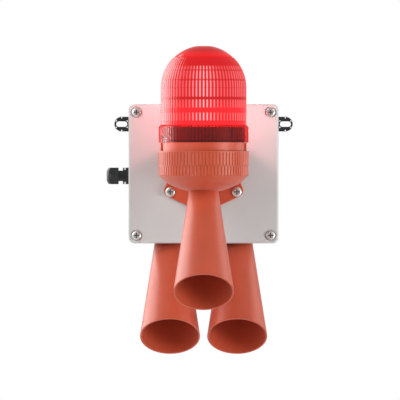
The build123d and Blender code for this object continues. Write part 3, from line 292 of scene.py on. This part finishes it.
def moulded(name, colour, roughness, grain=2200.0, depth=0.00003, painted_shade_above=None, sheen=0.0):
    """Moulded plastic or rubber with a fine spark-eroded grain and faint flow marks. Above a level it may
    be painted dark, as painted shade."""
    surface = Surface(name)
    flow = surface.noise(35.0, 4.0, surface.scaled((1.0, 1.0, 0.35)))
    tone = surface.mottled(flow, shade(colour, 0.93), shade(colour, 1.05))
    if painted_shade_above is not None:
        # Painted shade: above the level the colour turns nearly black
        above = surface.maths("GREATER_THAN", surface.axis("Z"), painted_shade_above)
        tone = surface.blend(above, tone, shade(colour, 0.18))
    surface.feed(tone, "Base Color")
    surface.feed(surface.spread(surface.noise(420.0, 2.0), roughness - 0.04, roughness + 0.06), "Roughness")
    surface.relief(surface.noise(grain, 2.0), depth, 0.5)
    surface.plain(Sheen_Weight=sheen, Sheen_Roughness=0.5)
    return surface.material


def drawn_metal(name, colour, roughness, stretch=(1.0, 1.0, 1.0)):
    """Metal with fine drawn or turned marks, and painted shade in its recesses."""
    surface = Surface(name)
    marks = surface.noise(1500.0, 3.0, surface.scaled(stretch))
    tone = surface.mottled(surface.noise(160.0), shade(colour, 0.86), colour)
    # Painted shade: the colour goes nearly black where the surface lies in a recess
    recess_shade_reach = 0.0025
    surface.feed(surface.blend(surface.openness(recess_shade_reach), shade(colour, 0.06), tone), "Base Color")
    surface.feed(surface.spread(marks, roughness - 0.08, roughness + 0.12), "Roughness")
    surface.relief(marks, 0.00002, 0.4)
    surface.plain(Metallic=1.0)
    return surface.material


def circuit_board(name, colour, copper):
    """Solder mask over copper, where tracks show as slightly raised lighter lines."""
    surface = Surface(name)
    tracks = surface.add("ShaderNodeTexBrick", offset=0.37, squash=0.6, squash_frequency=3)
    tracks.inputs["Scale"].default_value = 120.0
    tracks.inputs["Mortar Size"].default_value = 0.06
    tracks.inputs["Color1"].default_value = (*colour, 1.0)
    tracks.inputs["Color2"].default_value = (*shade(colour, 0.85), 1.0)
    tracks.inputs["Mortar"].default_value = (*copper, 1.0)
    surface.join(surface.place, tracks.inputs["Vector"])
    surface.feed(tracks.outputs["Color"], "Base Color")
    surface.feed(surface.spread(surface.noise(700.0), 0.22, 0.34), "Roughness")
    surface.relief(tracks.outputs["Fac"], 0.00004, 0.6)
    return surface.material


def lit_chip():
    """LED package with a glowing phosphor."""
    surface = Surface("led_chip")
    glow = surface.cells(220.0)
    surface.feed(surface.ramp(glow, [(0.0, (1.0, 0.55, 0.45)), (1.0, (1.0, 0.8, 0.75))]), "Base Color")
    surface.feed(surface.ramp(glow, [(0.0, (1.0, 0.25, 0.2)), (1.0, (1.0, 0.5, 0.45))]), "Emission Color")
    surface.plain(Emission_Strength=6.0, Roughness=0.3)
    return surface.material


def red_lens():
    """Clear red lens with the light on. Its light lies in bands, where the prism rings inside spread it, and
    in rows of bright dashes, where a column of LEDs is seen through the flutes."""
    dark = (0.58, 0.010, 0.012)
    upper = (0.72, 0.015, 0.019)
    middle = (0.95, 0.016, 0.020)
    bright = (1.75, 0.022, 0.030)
    shoulder = (0.66, 0.007, 0.009)
    ring = (0.80, 0.010, 0.013)
    crown = (0.50, 0.007, 0.009)
    # The level of each band, its colour, and how much of the dashes shows in it
    bands = [
        (0.0562, bright, 0.0), (0.0614, bright, 0.0), (0.0622, middle, 1.0), (0.0702, middle, 1.0),
        (0.0712, bright, 0.0), (0.0764, bright, 0.0), (0.0772, middle, 1.0), (0.0855, upper, 1.0),
        (0.0864, dark, 0.0), (0.0888, dark, 0.0), (0.0900, upper, 1.0), (0.0991, upper, 1.0),
        (0.0999, dark, 0.6), (0.1007, upper, 1.0), (0.1075, upper, 1.0), (0.1090, dark, 0.0),
        (0.1108, upper, 1.0), (0.1190, upper, 0.9), (0.1203, dark, 0.0), (0.1215, upper, 0.8),
        (0.1245, upper, 0.7), (0.1258, shoulder, 0.0), (0.1350, shoulder, 0.0), (0.1365, ring, 0.0),
        (0.1400, ring, 0.0), (0.1440, crown, 0.0),
    ]
    surface = Surface("red_lens")
    height = lens_high.z - lens_low.z
    along = surface.maths("DIVIDE", surface.maths("SUBTRACT", surface.axis("Z"), lens_low.z), height)
    glow_stops = [((level - lens_low.z) / height, colour) for level, colour, _ in bands]
    dash_stops = [((level - lens_low.z) / height, (share,) * 3) for level, _, share in bands]
    glow = surface.ramp(along, glow_stops)
    dash_rows = surface.ramp(along, dash_stops)

    # The dashes are painted strongest on the column of LEDs that faces forward: a painted highlight, as that
    # column looks when seen head-on
    head_on_highlight = 0.51
    column_dash = 0.06
    least_dash = 0.175
    dash_colour = (1.6, 0.75, 0.8)
    turn = surface.lens_turn()
    column = surface.wave(turn, led_columns, 1.3)
    front = surface.wave(turn, 1, 8.0)
    line = surface.wave(turn, flute_count, 3.0)
    column_strength = surface.maths("MULTIPLY_ADD", front, head_on_highlight, column_dash)
    strength = surface.maths("MULTIPLY_ADD", column_strength, column, least_dash)
    dash = surface.maths("MULTIPLY", surface.maths("MULTIPLY", strength, line), dash_rows)
    surface.feed(surface.blend(dash, glow, dash_colour), "Emission Color")
    tint = surface.mottled(surface.noise(30.0), (0.16, 0.003, 0.004), (0.18, 0.004, 0.005))
    surface.feed(tint, "Base Color")
    surface.feed(surface.spread(surface.noise(300.0), 0.16, 0.20), "Roughness")
    surface.plain(Emission_Strength=1.0, IOR=1.42)
    return surface.material


def clear_red():
    """Clear red plastic: what lies behind it shows through, tinted, with painted shade between its ribs and a
    faint painted haze of reflection.
    """
    surface = Surface("clear_red")
    tint = surface.mottled(surface.noise(40.0), (0.86, 0.030, 0.032), (0.92, 0.036, 0.038))
    # Painted shade: the tint is darker between the ribs
    rib = surface.spread(surface.wave(surface.lens_turn(), rib_count, 1.0), 0.5, 1.0, 0.0, 0.6)
    surface.feed(surface.blend(1.0, tint, rib, "MULTIPLY"), "Base Color")
    surface.feed(surface.spread(surface.noise(300.0), 0.01, 0.03), "Roughness")
    surface.plain(Transmission_Weight=1.0, IOR=1.02, Coat_Weight=0.06, Coat_Roughness=0.24)
    # A faint pale glow: painted haze standing in for the reflection on the skirt
    surface.plain(Emission_Color=(0.020, 0.0125, 0.012, 1.0), Emission_Strength=1.0)
    return surface.material


def steps(first, last, count):
    """Even steps from one value to another, both ends included."""
    return [first + (last - first) * index / (count - 1) for index in range(count)]


def dome_row(radius, angle, depth=0.0):
    """Row of the lens at a radius from the dome's centre and an angle above its level."""
    return (radius * math.cos(angle), dome_level + radius * math.sin(angle), depth)


def turned(rows, ridges):
    """Points and faces of a closed ring round the lens's axis, with ridges along it. A row is (radius, level,
    depth), where the depth is how far the valleys between the ridges lie inside the radius."""
    columns = columns_per_ridge * ridges
    points = []
    for radius, level, depth in rows:
        for column in range(columns):
            angle = 2 * math.pi * column / columns
            valley = 1 - abs(math.cos(ridges * (angle + math.pi / 2) / 2))
            reach = radius - depth * valley
            points.append((lens_x + reach * math.cos(angle), lens_y + reach * math.sin(angle), level))
    faces = []
    for row in range(len(rows)):
        here = row * columns
        beyond = (row + 1) % len(rows) * columns
        for column in range(columns):
            after = (column + 1) % columns
            faces.append((here + column, here + after, beyond + after, beyond + column))
    return points, faces


def lens_wall():
    """Fluted wall and dome, smooth crown, and the prism rings inside."""
    crown_angle = math.asin((crown_level - dome_level) / wall_radius)
    groove_angle = crown_angle + crown_groove_angle
    groove_radius = wall_radius - crown_groove
    crown_radius = wall_radius - crown_step
    flat_angle = math.acos(crown_flat / crown_radius)
    flat_level = dome_level + crown_radius * math.sin(flat_angle)
    inner = wall_radius - wall_thickness
    rows = [(wall_radius, shoulder_top - wall_lap, 0.0)]
    rows += [(wall_radius, shoulder_top + flute_start, flute_depth)]
    rows += [dome_row(wall_radius, angle, flute_depth) for angle in steps(0.0, crown_angle, dome_rows)]
    rows += [dome_row(groove_radius, crown_angle), dome_row(groove_radius, groove_angle)]
    rows += [dome_row(crown_radius, angle) for angle in steps(groove_angle, flat_angle, crown_rows)]
    rows += [(axis_radius, flat_level, 0.0), (axis_radius, dome_level + inner, 0.0)]
    rows += [dome_row(inner, angle) for angle in steps(ceiling_high, ceiling_low, ceiling_rows)]
    for level, height in rings:
        rows += [
            (inner, level + height / 2, 0.0),
            (inner - ring_depth, level + height / 4, 0.0),
            (inner - ring_depth, level - height / 4, 0.0),
            (inner, level - height / 2, 0.0),
        ]
    return turned(rows, flute_count)


def ribbed_skirt():
    """Ribbed skirt and the shoulder that joins it to the wall."""
    rows = [
        (skirt_bore, lens_low.z, 0.0),
        (skirt_radius - skirt_edge, lens_low.z, rib_depth),
        (skirt_radius, lens_low.z + skirt_edge, rib_depth),
        (skirt_radius, skirt_top - skirt_edge, rib_depth),
        (skirt_radius - skirt_edge, skirt_top, rib_depth),
        (wall_radius, shoulder_top, 0.0),
        (wall_radius - wall_thickness, shoulder_top, 0.0),
        (skirt_bore, skirt_top - shoulder_drop, 0.0),
    ]
    return turned(rows, rib_count)


def bayonet_peg(turn):
    """One peg inside the skirt, from an angle onwards. Its root lies in the skirt's wall."""
    section = [
        (skirt_bore + peg_root, peg_level),
        (skirt_bore - peg_depth, peg_level),
        (skirt_bore - peg_depth, peg_level + peg_height),
        (skirt_bore + peg_root, peg_level + peg_height),
    ]
    corners = len(section)
    points = []
    for angle in steps(turn, turn + peg_angle, peg_slices):
        for radius, level in section:
            points.append((lens_x + radius * math.cos(angle), lens_y + radius * math.sin(angle), level))
    last = corners * (peg_slices - 1)
    faces = [tuple(reversed(range(corners))), tuple(range(last, last + corners))]
    for here in range(0, last, corners):
        beyond = here + corners
        for corner in range(corners):
            after = (corner + 1) % corners
            faces.append((here + corner, here + after, beyond + after, beyond + corner))
    return points, faces


def one_mesh(name, parts):
    """An object made of several groups of points and faces, smooth but for its sharp corners."""
    points = []
    faces = []
    for more_points, more_faces in parts:
        faces += [tuple(corner + len(points) for corner in face) for face in more_faces]
        points += more_points
    mesh = bpy.data.meshes.new(name)
    mesh.from_pydata(points, [], faces)
    shape = bmesh.new()
    shape.from_mesh(mesh)
    bmesh.ops.recalc_face_normals(shape, faces=shape.faces)
    for edge in shape.edges:
        edge.smooth = len(edge.link_faces) == 2 and edge.calc_face_angle(0.0) < sharp_angle
    for face in shape.faces:
        face.smooth = True
    shape.to_mesh(mesh)
    shape.free()
    piece = bpy.data.objects.new(name, mesh)
    bpy.context.collection.objects.link(piece)
    return piece


# A finish for each material of the CAD model
orange = (0.57, 0.086, 0.0355)
finishes = {
    "enclosure_paint": powder_coat(),
    # The spigot inside the lens skirt gets painted shade: it is dark in place of the little light that
    # reaches it through the red skirt
    "siren_plastic": moulded("siren_plastic", orange, 0.36, painted_shade_above=lens_low.z, sheen=0.10),
    "lens_red": red_lens(),
    "black_plastic": moulded("black_plastic", (0.013, 0.013, 0.014), 0.38),
    "black_rubber": moulded("black_rubber", (0.014, 0.014, 0.014), 0.62, 900.0, 0.00006),
    "stainless": drawn_metal("stainless", (0.80, 0.78, 0.76), 0.30),
    "standoff_brass": drawn_metal("standoff_brass", (0.72, 0.56, 0.30), 0.28, (1.0, 0.1, 1.0)),
    "board_green": circuit_board("board_green", (0.015, 0.14, 0.05), (0.04, 0.24, 0.09)),
    "led_white_board": circuit_board("led_white_board", (0.80, 0.80, 0.78), (0.68, 0.68, 0.66)),
    "led_chip": lit_chip(),
    "bare_aluminium": drawn_metal("bare_aluminium", (0.72, 0.72, 0.74), 0.34, (1.0, 1.0, 0.05)),
    "terminal_green": moulded("terminal_green", (0.03, 0.30, 0.10), 0.42),
    "capacitor_sleeve": moulded("capacitor_sleeve", (0.03, 0.03, 0.05), 0.22, 300.0),
    "relay_blue": moulded("relay_blue", (0.03, 0.12, 0.40), 0.35),
    "magnet_iron": moulded("magnet_iron", (0.08, 0.08, 0.085), 0.50, 700.0, 0.00008),
    "basket_steel": drawn_metal("basket_steel", (0.30, 0.30, 0.31), 0.42),
    "cone_paper": moulded("cone_paper", (0.10, 0.09, 0.08), 0.75, 500.0, 0.0001),
    "cap_white": moulded("cap_white", (0.80, 0.80, 0.80), 0.40),
}
for node in nodes.values():
    for slot in node.material_slots:
        slot.material = finishes[slot.material.name.split(".")[0]]

# The lens, dressed as a glowing shell and a clear skirt that carries the pegs
lens = one_mesh("lens_shell", [lens_wall()])
lens.data.materials.append(finishes["lens_red"])
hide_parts("lens")
pegs = [bayonet_peg(2 * math.pi * index / peg_count) for index in range(peg_count)]
skirt = one_mesh("lens_skirt", [ribbed_skirt()] + pegs)
skirt.data.materials.append(clear_red())
for piece in (lens, skirt):
    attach(piece, "lens_cover")

# The tower's lamp stands on its axis. Its light passes the tower and the lens. The spigot and the base stop
# it, so they leave their shadow on the lid.
tower = [nodes[name] for name in ("led_tower", "led_strips", "led_chips", "led_tower_cap")]
for piece in (lens, skirt, *tower):
    piece.visible_shadow = False
lamp = bpy.data.lights.new("tower_lamp", "POINT")
lamp.energy = tower_power
lamp.color = tower_colour
lamp.shadow_soft_size = tower_lamp_radius
tower_lamp = bpy.data.objects.new("tower_lamp", lamp)
tower_lamp.location = (lens_x, lens_y, tower_level)
tower_lamp.visible_camera = False
tower_lamp.visible_glossy = False
tower_lamp.visible_transmission = False
bpy.context.collection.objects.link(tower_lamp)


def card(name, place, width, height, power):
    """A soft white studio light that faces the siren."""
    lamp = bpy.data.lights.new(name, "AREA")
    lamp.shape = "RECTANGLE"
    lamp.size = width
    lamp.size_y = height
    lamp.energy = power
    light = bpy.data.objects.new(name, lamp)
    light.location = place
    light.rotation_euler = (centre - Vector(place)).to_track_quat("-Z", "Y").to_euler()
    light.visible_camera = False
    light.visible_transmission = False
    bpy.context.collection.objects.link(light)
    return light


def lit_only(light, pieces, state):
    """Let a light reach only some pieces, or all but those."""
    group = bpy.data.collections.new(light.name + "_pieces")
    for piece in pieces:
        group.objects.link(piece)
    for entry in group.collection_objects:
        entry.light_linking.link_state = state
    light.light_linking.receiver_collection = group


# Studio lights: the place of each card, its width and height, and its power in watts
card("left", (-1.04, 0.45, 0.25), 1.4, 1.6, 7.0)
left_rim = card("left_rim", (-1.06, 0.46, 0.25), 1.4, 1.6, 14.0)
off_lens = [
    card("right", (1.05, 0.45, 0.20), 0.6, 1.3, 3.2),
    card("front_left", (-0.82, -0.88, 0.60), 0.9, 1.1, 9.0),
    card("front_right", (0.82, -0.88, 0.55), 0.9, 1.1, 3.4),
    card("low_right", (0.95, -0.65, -0.14), 0.6, 0.25, 5.2),
]
lens_left = card("lens_left", (-1.08, 0.47, 0.25), 1.4, 1.6, 4.0)
skirt_left = card("skirt_left", (-1.10, 0.30, 0.10), 0.8, 1.0, 130.0)
# The pale box needs less light from the left than the coloured plastic
lit_only(left_rim, [nodes["enclosure_body"], nodes["lid"]], "EXCLUDE")
# The lens is smooth, so the cards in front and on the right would lie on it as haze
for light in off_lens:
    lit_only(light, [lens], "EXCLUDE")
lit_only(lens_left, [lens], "INCLUDE")
lit_only(skirt_left, [skirt], "INCLUDE")

# White surroundings: they are seen as white, also through the skirt, and are dimmer as a light
world = bpy.data.worlds.new("studio")
bpy.context.scene.world = world
world.use_nodes = True
sky = Nodes(world.node_tree)
background = world.node_tree.nodes["Background"]
ray = sky.add("ShaderNodeLightPath").outputs
shown = sky.maths("MAXIMUM", ray["Is Camera Ray"], ray["Is Transmission Ray"])
whiteness = sky.maths("MULTIPLY_ADD", ray["Is Glossy Ray"], sky_gloss, shown)
sky.join(sky.spread(whiteness, sky_light, 1.0, 0.0, 1.0), background.inputs["Strength"])
background.inputs["Color"].default_value = (1.0, 1.0, 1.0, 1.0)

# Pale floor under the siren, below what the photograph shows
floor_mesh = bpy.data.meshes.new("floor")
corners = [(-1, -1), (1, -1), (1, 1), (-1, 1)]
floor_points = [(x * floor_reach, y * floor_reach, floor_level) for x, y in corners]
floor_mesh.from_pydata(floor_points, [], [(0, 1, 2, 3)])
floor = bpy.data.objects.new("floor", floor_mesh)
bpy.context.collection.objects.link(floor)
floor_surface = Surface("floor")
floor_surface.plain(Base_Color=(0.85, 0.85, 0.85, 1.0), Roughness=0.9)
floor_mesh.materials.append(floor_surface.material)

# Camera: level, straight on, and so far away that it shows no perspective
camera_data = bpy.data.cameras.new("camera")
camera_data.lens = camera_lens
camera_data.sensor_width = camera_sensor
camera_data.clip_end = camera_reach
camera = bpy.data.objects.new("camera", camera_data)
camera.location = (view_x, view_depth - view_width * camera_lens / camera_sensor, view_z)
camera.rotation_euler = (math.pi / 2, 0.0, 0.0)
bpy.context.collection.objects.link(camera)
bpy.context.scene.camera = camera
bpy.context.scene.view_settings.view_transform = "Standard"
